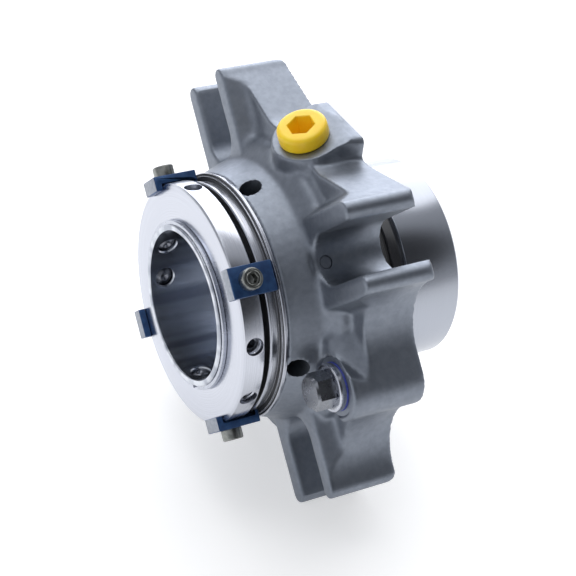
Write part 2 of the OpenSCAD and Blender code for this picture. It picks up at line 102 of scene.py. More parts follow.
def grain(tree, principled, place, sizes):
    # bumps of several real sizes stacked: (noise size in mm, height in mm, strength)
    last = None
    for size, height, strength in sizes:
        noise = addNode(tree, "ShaderNodeTexNoise", {}, {"Scale": 1 / (size * mm), "Detail": 2.0},
                        {"Vector": (place, "Object")})
        links = {"Height": (noise, "Fac")}
        if last:
            links["Normal"] = (last, "Normal")
        last = addNode(tree, "ShaderNodeBump", {}, {"Strength": strength, "Distance": height * mm}, links)
    if last:
        tree.links.new(last.outputs["Normal"], principled.inputs["Normal"])


def mottledMaterial(name, colours, rough=None, bumps=(), detail=3.0, **shader):
    # colours and rough are (noise size in mm, one end, other end); bumps are the sizes of its grain
    material, tree, principled, place = startMaterial(name, **shader)
    size, low, high = colours
    mottle(tree, place, size, linearColour(low), linearColour(high), principled.inputs["Base Color"], detail)
    if rough:
        size, low, high = rough
        mottle(tree, place, size, grey(low), grey(high), principled.inputs["Roughness"], detail)
    grain(tree, principled, place, bumps)
    return material


def latheLines(tree, principled, place, pitch, height, strength, shades=None):
    # feed marks: a one-way noise of x + r, so rings on a turned face and on a turned barrel alike
    split = addNode(tree, "ShaderNodeSeparateXYZ", {}, {}, {"Vector": (place, "Object")})
    across = addNode(tree, "ShaderNodeCombineXYZ", {}, {}, {"Y": (split, "Y"), "Z": (split, "Z")})
    radius = addNode(tree, "ShaderNodeVectorMath", {"operation": "LENGTH"}, {},
                     {"Vector": (across, "Vector")})
    way = addNode(tree, "ShaderNodeMath", {"operation": "ADD"}, {}, {0: (split, "X"), 1: (radius, "Value")})
    rings = addNode(tree, "ShaderNodeTexNoise", {"noise_dimensions": "1D"},
                    {"Scale": 1 / (pitch * mm), "Detail": 2.0}, {"W": (way, "Value")})
    bump = addNode(tree, "ShaderNodeBump", {}, {"Strength": strength, "Distance": height * mm},
                   {"Height": (rings, "Fac")})
    tree.links.new(bump.outputs["Normal"], principled.inputs["Normal"])
    if shades:
        ramp = addNode(tree, "ShaderNodeValToRGB", {}, {}, {"Fac": (rings, "Fac")})
        for element, at, shade in zip(ramp.color_ramp.elements, (0.45, 0.55), shades):
            element.position, element.color = at, linearColour(shade)
        tree.links.new(ramp.outputs["Color"], principled.inputs["Base Color"])
    tangent = addNode(tree, "ShaderNodeTangent", {"direction_type": "RADIAL", "axis": "X"})
    tree.links.new(tangent.outputs["Tangent"], principled.inputs["Tangent"])


def turnedMaterial(name, marks, shades, **shader):
    # marks are (noise size in mm, height in mm, strength) of the feed marks, shades their two colours
    material, tree, principled, place = startMaterial(name, **shader)
    latheLines(tree, principled, place, *marks, shades)
    return material


def honedWithPaintedBands(name, marks, reflectionBandColours, **shader):
    # very faint rings, and broad bands along the tube that are painted reflections: those are a noise of the
    #     direction round the shaft only, (0, y, z) over its length
    material, tree, principled, place = startMaterial(name, **shader)
    latheLines(tree, principled, place, *marks)
    around = addNode(tree, "ShaderNodeVectorMath", {"operation": "MULTIPLY"}, {1: (0.0, 1.0, 1.0)},
                     {0: (place, "Object")})
    way = addNode(tree, "ShaderNodeVectorMath", {"operation": "NORMALIZE"}, {}, {0: (around, "Vector")})
    bands = addNode(tree, "ShaderNodeTexNoise", {}, {"Scale": 4.5, "Detail": 1.0},
                    {"Vector": (way, "Vector")})
    ramp = addNode(tree, "ShaderNodeValToRGB", {}, {}, {"Fac": (bands, "Fac")})
    for element, at, colour in zip(ramp.color_ramp.elements, (0.4, 0.6), reflectionBandColours):
        element.position, element.color = at, linearColour(colour)
    tree.links.new(ramp.outputs["Color"], principled.inputs["Base Color"])
    return material


# Investment-cast stainless steel, bead blasted: a satin grey skin with a fine even grain
castSteel = mottledMaterial("castSteel", (2.4, "#7f858f", "#878d97"), (1.0, 0.46, 0.52),
                            [(2.4, 0.02, 0.1), (0.45, 0.02, 0.4)], Metallic=1.0)

# Stainless steel bar, finish turned: bright, with feed marks about 0.3 mm apart
turnedSteel = turnedMaterial("turnedSteel", (0.3, 0.003, 0.3), ("#a9acb5", "#bcbfc8"),
                             Metallic=1.0, Roughness=0.24, Anisotropic=0.5)

# The same steel, faced and lightly polished on the clamp ring: paler, with shallower marks
facedSteel = turnedMaterial("facedSteel", (0.3, 0.0015, 0.2), ("#c0c3cc", "#cacdd6"),
                            Metallic=1.0, Roughness=0.22, Anisotropic=0.35)

# The same steel, ground on the rotary holder: evenly grey, with hardly a mark
groundSteel = turnedMaterial("groundSteel", (0.25, 0.001, 0.2), ("#a6aab3", "#acb0b9"),
                             Metallic=1.0, Roughness=0.23, Anisotropic=0.3)

# Stainless tube, honed inside and polished outside: mirror-like, with painted reflection bands along it
honedSteelPaintedBands = honedWithPaintedBands("honedSteelPaintedBands", (0.5, 0.0015, 0.2), ("#a4a9b4", "#cfd3da"),
                           Metallic=1.0, Roughness=0.24, Anisotropic=0.4)

# Mild steel strip, blued: a dark blue oxide under a thin oil film
bluedSteel = mottledMaterial("bluedSteel", (2.2, "#26436f", "#315482"), (1.0, 0.32, 0.45), [(0.5, 0.02, 0.3)],
                             Metallic=0.55, Coat_Weight=0.25, Coat_Roughness=0.3)

# The sawn ends of the same strip: bare grey steel
sawnSteel = mottledMaterial("sawnSteel", (1.2, "#8b9099", "#9a9fa8"), (0.8, 0.36, 0.46), [(0.4, 0.01, 0.3)],
                            Metallic=1.0)

# Alloy steel socket screws, phosphated: dull grey with a green cast
screwSteel = mottledMaterial("screwSteel", (1.5, "#7d7f7c", "#969895"), (0.8, 0.28, 0.36), [(0.4, 0.02, 0.3)],
                             Metallic=1.0)

# Stainless hexagon bar, drawn: smooth flats with a faint unevenness
plugSteel = mottledMaterial("plugSteel", (6.0, "#8f9298", "#979aa1"), (2.5, 0.26, 0.30), [(2.5, 0.002, 0.1)],
                            Metallic=1.0)

# Hardened grub screws, oil blacked: dark grey, half glossy
grubSteel = mottledMaterial("grubSteel", (1.2, "#6a6d74", "#868991"), (0.6, 0.26, 0.36), [(0.4, 0.02, 0.3)],
                            Metallic=1.0)

# Spring steel, ground flat and bright on its faces
springSteel = mottledMaterial("springSteel", (4.0, "#b4b8c2", "#bfc3cd"), (1.5, 0.24, 0.28),
                              [(0.8, 0.002, 0.2)], Metallic=1.0)

# Polyethylene transport plug, injection moulded: glossy, slightly translucent yellow
yellowPlastic = mottledMaterial("yellowPlastic", (6.0, "#ffd21c", "#ffda30"), None, [(1.2, 0.02, 0.25)],
                                Roughness=0.36, IOR=1.51, Subsurface_Weight=0.12, Subsurface_Scale=0.0015,
                                Subsurface_Radius=(1.0, 0.6, 0.1))

# Nitrile ring bonded into a steel washer, dyed blue: satin
blueRubber = mottledMaterial("blueRubber", (1.0, "#2f3a8c", "#4450a8"), None, [(0.4, 0.02, 0.3)],
                             Roughness=0.5, IOR=1.52)

# Black nitrile O-rings, moulded: smooth and dark
blackRubber = mottledMaterial("blackRubber", (1.0, "#141517", "#1f2023"), None, [(0.4, 0.02, 0.3)],
                              Roughness=0.45, IOR=1.52)

# Compressed fibre sheet, cut with a knife: matt with short fibres
gasketSheet = mottledMaterial("gasketSheet", (0.9, "#232428", "#34353a"), None, [(0.5, 0.05, 0.5)],
                              detail=5.0, Roughness=0.78, IOR=1.5)

# Resin-filled carbon graphite, machined: dull black with a faint sheen; the same black is painted shade on
# the front face of the turned collar
carbonAndPaintedShade = turnedMaterial("carbonAndPaintedShade", (0.4, 0.006, 0.4), ("#17181a", "#222326"),
                                Roughness=0.5, IOR=1.8)

# Sintered silicon carbide, lapped: dark grey and smooth as glass
siliconCarbide = turnedMaterial("siliconCarbide", (0.8, 0.002, 0.2), ("#232427", "#2d2e32"),
                                Roughness=0.2, IOR=2.2)
print("materials made")


def newPiece(name, points, faceSets, material, sharpAngle=hardEdge):
    # points in mm; each face set is an array of rows with the same number of corners
    mesh = bpy.data.meshes.new(name)
    loops = np.concatenate([f.ravel() for f in faceSets])
    totals = np.concatenate([np.full(len(f), f.shape[1]) for f in faceSets])
    mesh.vertices.add(len(points))
    mesh.vertices.foreach_set("co", (np.asarray(points, float) * mm).ravel())
    mesh.loops.add(len(loops))
    mesh.loops.foreach_set("vertex_index", loops.astype(np.int32))
    mesh.polygons.add(len(totals))
    mesh.polygons.foreach_set("loop_start", (np.cumsum(totals) - totals).astype(np.int32))
    mesh.polygons.foreach_set("loop_total", totals.astype(np.int32))
    mesh.update(calc_edges=True)
    mesh.validate()
    finishShading(mesh, sharpAngle)
    mesh.materials.append(material)
    piece = bpy.data.objects.new(name, mesh)
    bpy.context.scene.collection.objects.link(piece)
    return piece


def finishShading(mesh, sharpAngle):
    # smooth faces, with a hard edge wherever two of them meet at more than that angle in degrees
    mesh.polygons.foreach_set("use_smooth", np.ones(len(mesh.polygons), bool))
    mesh.set_sharp_from_angle(angle=math.radians(sharpAngle))


def frontFinishAndPaintedShade(piece, material):
    # the faces that look out of the front take a second material, the bare sawn ends on the clips and painted
    # shade on the collar: the x of their normal is below -0.8
    piece.data.materials.append(material)
    normals = np.empty(len(piece.data.polygons) * 3)
    piece.data.polygons.foreach_get("normal", normals)
    piece.data.polygons.foreach_set("material_index", (normals[0::3] < -0.8).astype(np.int32))


def gridFaces(rows, columns, closeRows=True):
    # quads between neighbouring points of a grid whose rows are closed rings; where closeRows says so,
    # the last ring joins the first one too
    r, c = np.meshgrid(np.arange(rows if closeRows else rows - 1), np.arange(columns), indexing="ij")
    r2, c2 = (r + 1) % rows, (c + 1) % columns
    corners = [r * columns + c, r2 * columns + c, r2 * columns + c2, r * columns + c2]
    return np.stack(corners, -1).reshape(-1, 4)


def enclosed(points, faces):
    # six times the enclosed volume: the sum of a . (b x c) over all triangles, a quad being two of them
    p = points[faces]
    volume = np.einsum("ij,ij->i", p[:, 0], np.cross(p[:, 1], p[:, 2])).sum()
    if faces.shape[1] == 4:
        volume += np.einsum("ij,ij->i", p[:, 0], np.cross(p[:, 2], p[:, 3])).sum()
    return volume


def outward(points, faces):
    # turns the faces round when the volume that they enclose comes out negative
    return faces if enclosed(points, faces) > 0 else faces[:, ::-1]


def closed(points, sides, ends):
    # the sides and both ends as one piece, all turned round when the sides enclose a negative volume
    if enclosed(points, sides) < 0:
        sides, ends = sides[:, ::-1], [faces[:, ::-1] for faces in ends]
    return points, [sides, *ends]


def closedSweep(points, rows, columns):
    # rows of one section, one behind the other along a path, with a single face at each end
    first = np.arange(columns)[None]
    last = first[:, ::-1] + (rows - 1) * columns
    return closed(points, gridFaces(rows, columns, closeRows=False), [first, last])


def softened(profile, radius, steps=3):
    # every corner b of a closed profile becomes a short curve from s on its one side to e on the other:
    # (1 - t)(1 - t) s + 2 t (1 - t) b + t t e
    p = np.array(profile, float)
    out = []
    for i in range(len(p)):
        a, b, c = p[i - 1], p[i], p[(i + 1) % len(p)]
        inLen, outLen = np.linalg.norm(a - b), np.linalg.norm(c - b)
        reach = min(radius, 0.45 * inLen, 0.45 * outLen)
        start, end = b + (a - b) / inLen * reach, b + (c - b) / outLen * reach
        t = np.linspace(0, 1, steps + 1)[:, None]
        out.append((1 - t) ** 2 * start + 2 * t * (1 - t) * b + t ** 2 * end)
    return np.vstack(out)


def turned(profile, segments=160, radius=0.12):
    # profile point (r, x) turned round the shaft axis: (x, r sin a, r cos a)
    p = softened(profile, radius)
    a = np.linspace(0, 2 * math.pi, segments, endpoint=False)
    x = np.repeat(p[:, 1:2], segments, 1)
    points = np.stack([x, p[:, :1] * np.sin(a), p[:, :1] * np.cos(a)], -1).reshape(-1, 3)
    return points, outward(points, gridFaces(len(p), segments))


def hexRadius(angle, flats):
    # distance from the middle of a hexagon to its side, at each angle from a corner
    sector = math.pi / 3
    return flats / 2 / np.cos(np.mod(angle, sector) - sector / 2)


def headWithFlats(rows, segments=96, turn=0.0):
    # rows of (height, round radius or None, width across flats or None) along Z: the radius at each angle
    # is the smaller of the round one and the hexagon's, and a fan of triangles closes each end
    a = np.linspace(0, 2 * math.pi, segments, endpoint=False)
    b = a + math.radians(turn)
    rings = []
    for height, roundRadius, flats in rows:
        r = np.full(segments, np.inf if roundRadius is None else roundRadius)
        if flats is not None:
            r = np.minimum(r, hexRadius(a, flats))
        rings.append(np.stack([r * np.cos(b), r * np.sin(b), np.full(segments, float(height))], -1))
    points = np.vstack(rings + [[[0, 0, rows[0][0]], [0, 0, rows[-1][0]]]])
    n = len(rings)
    i = np.arange(segments)
    j = (i + 1) % segments
    top = (n - 1) * segments
    low = np.stack([np.full(segments, n * segments), j, i], -1)[:, ::-1]
    high = np.stack([np.full(segments, n * segments + 1), top + i, top + j], -1)[:, ::-1]
    return closed(points, gridFaces(n, segments, closeRows=False), [low, high])


def placed(points, matrix):
    # points turned by the 3 x 3 part of the matrix and then moved by its last column
    m = np.array(matrix)
    return points @ m[:3, :3].T + m[:3, 3]


def turnAbout(axis, degrees):
    # the matrix of a turn about X, Y or Z
    return Matrix.Rotation(math.radians(degrees), 4, axis)


def aroundShaft(part, angles, along):
    # copies of (points, face sets) drawn along Z, one at each angle round the shaft, at one place along it
    points, sets = part
    return [(placed(points, turnAbout("X", a) @ Matrix.Translation((along, 0, 0))), sets) for a in angles]


def joined(parts):
    # several (points, face sets) as one piece
    points, sets, start = [], [], 0
    for p, faces in parts:
        points.append(p)
        sets += [f + start for f in (faces if isinstance(faces, list) else [faces])]
        start += len(p)
    return np.vstack(points), sets


def ride(piece, body, slot, *nodes):
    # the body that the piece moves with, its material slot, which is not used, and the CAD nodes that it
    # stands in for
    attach(piece, body)
    if nodes:
        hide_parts(*nodes)
    return piece


def drilled(piece, cutters):
    # takes each cutter, made of (points, face sets), out of the piece
    points, sets = joined(cutters)
    tool = newPiece("drill", points, sets, castSteel)
    cut = piece.modifiers.new("drill", "BOOLEAN")
    cut.operation, cut.solver, cut.object = "DIFFERENCE", "EXACT", tool
    graph = bpy.context.evaluated_depsgraph_get()
    mesh = bpy.data.meshes.new_from_object(piece.evaluated_get(graph))
    piece.modifiers.clear()
    old, piece.data = piece.data, mesh
    bpy.data.meshes.remove(old)
    bpy.data.objects.remove(tool)
    finishShading(piece.data, hardEdge)
    return piece


def threadedRod(radius, low, high, pitch, segments=48):
    # a cutter with one groove to each pitch of the thread, and a plain end that reaches out of the part
    halfGroove, grooveDepth, plainEnd = 0.38 * pitch, 0.32 * pitch, 6
    rows = [(low, radius, None)]
    for k in range(int((high - low) / pitch) - 1):
        at = low + (k + 1) * pitch
        rows += [(at - halfGroove, radius, None), (at, radius + grooveDepth, None)]
    end = rows[-1][0]
    rows += [(end + halfGroove, radius, None), (end + plainEnd, radius, None)]
    return headWithFlats(rows, segments)


def rod(radius, low, high, segments=64):
    # a plain pin along Z, for drilling
    return headWithFlats([(low, radius, None), (high, radius, None)], segments)


# Directions round the shaft in degrees, counted from the flush port towards the side port
slotAngles = [-45, 45, 135, 225]
grubAngles = [-15, 75, 105, 165, 255, 285]
ringMiddle = -46.85

# Cast gland, made from a merged copy of its CAD node
casting = {
    "voxel": 0.55,              # mm between points of the new skin
    "fill": (18, 0.6, 0.05),    # rounds, share outwards and share inwards: fills the inner corners
    "soften": (4, 0.5, 0.5),    # takes the edge off everything
    "melt": (36, 0.6, 0.6),     # takes the shoulder away beside the flush boss
    "meltRadii": (44, 54), "meltAngles": (11, 28), "meltRear": -17, "meltBlends": (2, 3, 1.5),
    "triangles": 190000,        # left after thinning
    "hardEdge": 50,             # degrees between two faces from which their edge is drawn hard
    "nearFace": 0.45,           # mm within which a point belongs to a machined face
    # a value called Hold says where a machined face starts to be held while the corners fill
    "slotHalf": 8.3, "slotFloor": 52.4, "slotBehind": 2, "slotFront": -23.3, "slotHold": -23.2,
    "finHalf": 3.1, "finEnd": 73.0, "finCorner": 2.2,
    "cutFront": -27, "cutRear": 1, "cutBeyond": 3, "cutBeside": 0.6, "cutHalf": 18,
    "flankFront": [(-27, -45, 10.9), (-27, -67, 8.9), (-27, -67, 34), (-27, -46, 20.5)],
    "flankRear": [(-17.95, -47.6, 16.6), (-17.95, -67, 6.5), (-17.95, -67, 34), (-17.95, -47.6, 22)],
    "padMiddle": (-14.4, 0.0, 57.4), "padTilt": 21.5, "padHalf": 14, "padSpan": (-28, -4), "padLow": 50,
    "ventX": -31.9, "ventRadius": 3.5, "ventNear": 0.4, "ventHold": 4.6, "ventSpan": (30, 46),
    "ventWays": ((0, 1), (-1, 0)),   # (y, z) of the top vent and of the side vent
    "collarEnd": -36.0, "collarHold": -35.6, "collarBlend": 1.0,
    "rimRadius": 40.4, "rimHold": 40.2, "rimBlend": 1.2, "rimDepth": 0.9,
    "sideSeat": (-25.0, -53.8, 0.0), "seatRadius": 9.75, "seatDepth": 0.3,
    "slideRadius": 34.3, "slideFloor": -22.0, "slideRear": -13.2, "slideWeb": 28,
    "pinX": -20.3, "pinAngles": (45, 225),
    "pinBore": [(36.5, 1.94, None), (43.4, 1.94, None), (43.41, 2.2, None), (46, 2.2, None)],
}


def rising(value, start, length):
    # 0 up to start, 1 from start + length on, and a straight rise between
    return np.clip((value - start) / length, 0, 1)


def prism(outline, low, high, ways):
    # an outline of (a, b) drawn from low to high along the third of three right-handed ways
    n = len(outline)
    flat = np.array([[a, b, h] for h in (low, high) for a, b in outline], float)
    i = np.arange(n)
    j = (i + 1) % n
    return flat @ np.array(ways, float), [np.stack([i, j, j + n, i + n], -1), i[None, ::-1], i[None] + n]


def arc(middle, radius, start, end, steps=12):
    # points middle + radius (cos t, sin t), for t from start to end in degrees
    return [(middle[0] + radius * math.cos(t), middle[1] + radius * math.sin(t))
            for t in np.radians(np.linspace(start, end, steps))]


def roundingCutters(c):
    # every fin ends in a half round, and its corner at the mounting face is rounded too; the cutters reach
    # past the flange on all sides
    ends, corners = [], []
    r, b, end = c["finHalf"], c["finCorner"], c["finEnd"]
    past = end + c["cutBeyond"]
    for angle in slotAngles:
        a = math.radians(angle)
        u, v, x = (0, -math.sin(a), math.cos(a)), (0, math.cos(a), math.sin(a)), (1, 0, 0)
        for side in (-1, 1):
            middle = side * (c["slotHalf"] + r)
            left, right = middle - r - c["cutBeside"], middle + r + c["cutBeside"]
            outline = [(right, end - r), (right, past), (left, past), (left, end - r)]
            outline += arc((middle, end - r), r, 180, 0)
            ends.append(prism(outline, c["cutFront"], c["cutRear"], (v, u, x)))
        outline = [(past, c["cutRear"]), (end - b, c["cutRear"])]
        outline += arc((end - b, -b), b, 90, 0) + [(past, -b)]
        corners.append(prism(outline, -c["cutHalf"], c["cutHalf"], (u, x, v)))
    return ends, corners


def flankCutters(c):
    # the boss of the side port grows narrower outwards, so that the flat web beside it widens: eight corners,
    # four in front and four on the web, and the same below
    corners = np.array(c["flankFront"] + c["flankRear"], float)
    quads = np.array([[0, 1, 2, 3], [4, 7, 6, 5], [0, 4, 5, 1], [1, 5, 6, 2], [2, 6, 7, 3], [3, 7, 4, 0]])
    halves = np.vstack([quads[:, [0, 1, 2]], quads[:, [0, 2, 3]]])
    out = []
    for side in (1, -1):
        points = corners * [1, 1, side]
        out.append((points, [outward(points, halves)]))
    return out


def castingMesh(c):
    # a merged copy of the CAD node, cut and given a new even skin: its points in mm, edges and quads
    copy = bpy.data.meshes.new("glandCopy")
    work = bmesh.new()
    work.from_mesh(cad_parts["gland"].data)
    bmesh.ops.remove_doubles(work, verts=work.verts, dist=1e-6)
    work.to_mesh(copy)
    work.free()
    holder = bpy.data.objects.new("glandCopy", copy)
    bpy.context.scene.collection.objects.link(holder)
    for cutters in (*roundingCutters(c), flankCutters(c)):
        drilled(holder, cutters)
    skin = holder.modifiers.new("skin", "REMESH")
    skin.mode, skin.voxel_size = "VOXEL", c["voxel"] * mm
    graph = bpy.context.evaluated_depsgraph_get()
    mesh = bpy.data.meshes.new_from_object(holder.evaluated_get(graph))
    bpy.data.objects.remove(holder)
    points = np.empty(len(mesh.vertices) * 3)
    mesh.vertices.foreach_get("co", points)
    edges = np.empty(len(mesh.edges) * 2, np.int32)
    mesh.edges.foreach_get("vertices", edges)
    quads = np.empty(len(mesh.loops), np.int32)
    mesh.loops.foreach_get("vertex_index", quads)
    totals = np.empty(len(mesh.polygons), np.int32)
    mesh.polygons.foreach_get("loop_total", totals)
    bpy.data.meshes.remove(mesh)
    assert (totals == 4).all()
    return points.reshape(-1, 3) / mm, edges.reshape(-1, 2), quads.reshape(-1, 4)


def vertexNormals(points, quads):
    # each corner gets the sum of the cross products of the diagonals of its faces
    n = np.cross(points[quads[:, 2]] - points[quads[:, 0]], points[quads[:, 3]] - points[quads[:, 1]])
    out = np.stack([np.bincount(quads.ravel(), np.repeat(n[:, k], 4), len(points)) for k in range(3)], -1)
    return out / np.maximum(np.linalg.norm(out, axis=1, keepdims=True), 1e-9)


def machinedHold(p, c):
    # 0 where a tool has cut the gland, 1 where the cast skin is left, with a short blend between
    r = np.hypot(p[:, 1], p[:, 2])
    free = rising(r, c["rimHold"], c["rimBlend"]) * rising(p[:, 0], c["collarHold"], c["collarBlend"])
    for angle in slotAngles:
        u, v = slotAxes(p, angle)
        wall = np.abs(np.hypot(np.maximum(c["slotFloor"] - u, 0), v) - c["slotHalf"])
        inSlot = (u > c["slotFloor"] - c["slotHalf"] - c["slotBehind"]) & (p[:, 0] > c["slotHold"])
        free[inSlot & (wall < c["nearFace"])] = 0
    low, high = c["ventSpan"]
    for y, z in c["ventWays"]:
        side = p[:, 1] * y + p[:, 2] * z
        drill = np.hypot(p[:, 0] - c["ventX"], p[:, 1] * z + p[:, 2] * y)
        free[(side > low) & (side < high) & (drill < c["ventHold"])] = 0
    return free


def meltZone(p, c):
    # 1 on the shoulder beside the flush boss and 0 elsewhere, blended in radius, in angle and along the shaft
    low, high = c["meltRadii"]
    near, wide = c["meltAngles"]
    blendOut, blendRound, blendAlong = c["meltBlends"]
    r = np.hypot(p[:, 1], p[:, 2])
    a = np.abs(np.degrees(np.arctan2(p[:, 1], p[:, 2])))
    inside = rising(r, low, blendOut) * rising(-r, -high, blendOut)
    inside *= rising(a, near, blendRound) * rising(-a, -wide, blendRound)
    return inside * rising(-p[:, 0], -c["meltRear"], blendAlong)


def slotAxes(p, angle):
    # u runs out along the slot and v across it: the point's (y, z) turned back by the slot's angle
    a = math.radians(angle)
    return -p[:, 1] * math.sin(a) + p[:, 2] * math.cos(a), p[:, 1] * math.cos(a) + p[:, 2] * math.sin(a)


def relaxed(points, edges, quads, free, rounds, grow, shrink):
    # each point moves towards the mean of its neighbours: by the share grow where that is outwards,
    # which fills inner corners as in a casting, and by the share shrink where it is inwards
    count = len(points)
    # on the mounting face a point may only move within that face
    alongShaft = rising(-points[:, 0], 0.25, 0.6)
    ways = np.stack([alongShaft, np.ones(count), np.ones(count)], -1)
    a = np.concatenate([edges[:, 0], edges[:, 1]])
    b = np.concatenate([edges[:, 1], edges[:, 0]])
    number = np.bincount(a, minlength=count)[:, None]
    for k in range(rounds):
        # the normals change so little that every fourth round is enough for them
        if k % 4 == 0:
            normals = vertexNormals(points, quads)
        near = points[b]
        mean = np.stack([np.bincount(a, near[:, i], count) for i in range(3)], -1) / number
        step = mean - points
        outwards = np.einsum("ij,ij->i", step, normals)
        share = np.where(outwards > 0, grow, shrink) * free
        points = points + step * ways * share[:, None]
    return points


def kept(off):
    # the share of its distance that a point keeps when it is drawn to a machined face: nothing up to 0.15 mm
    # and all of it from 0.6 mm on, so that the rim of the face stays round
    return rising(np.abs(off), 0.15, 0.45)


def slotWalls(p, c):
    # points near a slot are drawn to its walls and its round floor, and keep only a share of their distance
    for angle in slotAngles:
        u, v = slotAxes(p, angle)
        back = np.maximum(c["slotFloor"] - u, 0)
        far = np.hypot(back, v)
        off = far - c["slotHalf"]
        inSlot = (u > c["slotFloor"] - c["slotHalf"] - c["slotBehind"]) & (p[:, 0] > c["slotFront"])
        scale = np.where(inSlot, (c["slotHalf"] + off * kept(off)) / np.maximum(far, 1e-6), 1.0)
        u2 = np.where(u < c["slotFloor"], c["slotFloor"] - back * scale, u)
        v2 = v * scale
        a = math.radians(angle)
        p[:, 1] = -u2 * math.sin(a) + v2 * math.cos(a)
        p[:, 2] = u2 * math.cos(a) + v2 * math.sin(a)


def flushPad(p, c):
    # points near the tilted pad of the flush port are drawn to its plane
    t = math.radians(c["padTilt"])
    normal = np.array([-math.sin(t), 0, math.cos(t)])
    height = (p - c["padMiddle"]) @ normal
    front, rear = c["padSpan"]
    onPad = (np.abs(p[:, 1]) < c["padHalf"]) & (p[:, 0] < rear) & (p[:, 0] > front) & (p[:, 2] > c["padLow"])
    p -= np.where(onPad, height * (1 - kept(height)), 0)[:, None] * normal


def ventBores(p, c):
    # points near a vent's wall are put on its radius
    low, high = c["ventSpan"]
    for y, z in c["ventWays"]:
        side = p[:, 1] * y + p[:, 2] * z
        dx, dy = p[:, 0] - c["ventX"], p[:, 1] * z + p[:, 2] * y
        far = np.hypot(dx, dy)
        near = (side > low) & (side < high) & (np.abs(far - c["ventRadius"]) < c["ventNear"])
        scale = np.where(near, c["ventRadius"] / np.maximum(far, 1e-6), 1.0)
        p[:, 0] = c["ventX"] + dx * scale
        across = 1 if z else 2
        p[:, across] *= scale


def endFaces(p, c):
    # the side port's seat, the hub's front end and the mounting face are flat, the hub's front rim is round
    seatX, seatY, seatZ = c["sideSeat"]
    seatFloor = seatX + c["seatDepth"]
    onSeat = np.hypot(p[:, 1] - seatY, p[:, 2] - seatZ) < c["seatRadius"]
    p[:, 0] = np.where(onSeat & (p[:, 0] < seatFloor), seatFloor, p[:, 0])
    p[:, 0] = np.clip(p[:, 0], c["collarEnd"], 0)
    r = np.hypot(p[:, 1], p[:, 2])
    atRim = (p[:, 0] < c["collarEnd"] + c["rimDepth"]) & (r > c["rimRadius"])
    p[:, 1:] *= np.where(atRim, c["rimRadius"] / np.maximum(r, 1e-6), 1.0)[:, None]


def slidingBore(p, c):
    # the bore that the floating face slides in and the floor at its end: points near them are put on them
    radius, floor, near = c["slideRadius"], c["slideFloor"], c["nearFace"]
    r = np.hypot(p[:, 1], p[:, 2])
    wall = (np.abs(r - radius) < near) & (p[:, 0] > floor - near) & (p[:, 0] < c["slideRear"])
    p[:, 1:] *= np.where(wall, radius / np.maximum(r, 1e-6), 1.0)[:, None]
    end = (np.abs(p[:, 0] - floor) < near) & (r > c["slideWeb"]) & (r < radius + near)
    p[:, 0] = np.where(end, floor, p[:, 0])


points, edges, quads = castingMesh(casting)
print("gland skin:", len(points), "points")
free = machinedHold(points, casting)
points = relaxed(points, edges, quads, free, *casting["fill"])
points = relaxed(points, edges, quads, free, *casting["soften"])
# the shoulder between the flush boss and the fins on both sides of it runs out softly
points = relaxed(points, edges, quads, free * meltZone(points, casting), *casting["melt"])
for cut in (slotWalls, flushPad, ventBores, endFaces):
    cut(points, casting)
glandCasting = newPiece("glandCasting", points, [outward(points, quads)], castSteel, casting["hardEdge"])
thin = glandCasting.modifiers.new("thin", "DECIMATE")
thin.ratio = casting["triangles"] / (2 * len(quads))
graph = bpy.context.evaluated_depsgraph_get()
thinned = bpy.data.meshes.new_from_object(glandCasting.evaluated_get(graph))
glandCasting.modifiers.clear()
glandCasting.data = thinned
points = np.empty(3 * len(thinned.vertices))
thinned.vertices.foreach_get("co", points)
points = points.reshape(-1, 3) / mm
slidingBore(points, casting)
thinned.vertices.foreach_set("co", (points * mm).ravel())
# bores of the two anti-rotation pins, a little wider than the pins where they break through the slot's floor
pinBore = headWithFlats(casting["pinBore"], 48)
drilled(glandCasting, aroundShaft(pinBore, casting["pinAngles"], casting["pinX"]))
finishShading(glandCasting.data, casting["hardEdge"])
ride(glandCasting, "gland_body", "cast_steel", "gland")
print("gland casting:", len(glandCasting.data.polygons), "faces")

# Turned collar of the gland: land, groove and rim, with the bush seat inside; (radius, place along the shaft)
collar = {"profile": [(33.0, -35.4), (33.0, -40.4), (33.5, -40.9), (38.6, -40.9), (39.0, -40.5),
                      (39.0, -39.7), (38.5, -39.7), (38.5, -37.5), (40.2, -37.5), (40.2, -37.0),
                      (41.0, -37.0), (41.3, -36.7), (41.3, -35.8), (40.8, -35.5), (40.3, -35.4)]}
points, faces = turned(collar["profile"])
turnedCollar = ride(newPiece("turnedCollar", points, [faces], turnedSteel), "gland_body", "cast_steel")
# its front face lies deep in the gap behind the clamp ring; the black put on it is painted shade
frontFinishAndPaintedShade(turnedCollar, carbonAndPaintedShade)

# Machined seat of the side port: a flat disc let into the boss
seat = {"profile": [(5.0, -25.04), (9.5, -25.04), (9.7, -24.9), (9.7, -24.6), (5.0, -24.6)]}
points, faces = turned(seat["profile"], 96, 0.05)
points = points + [0, casting["sideSeat"][1], 0]
ride(newPiece("sidePortSeat", points, [faces], castSteel), "gland_body", "cast_steel")

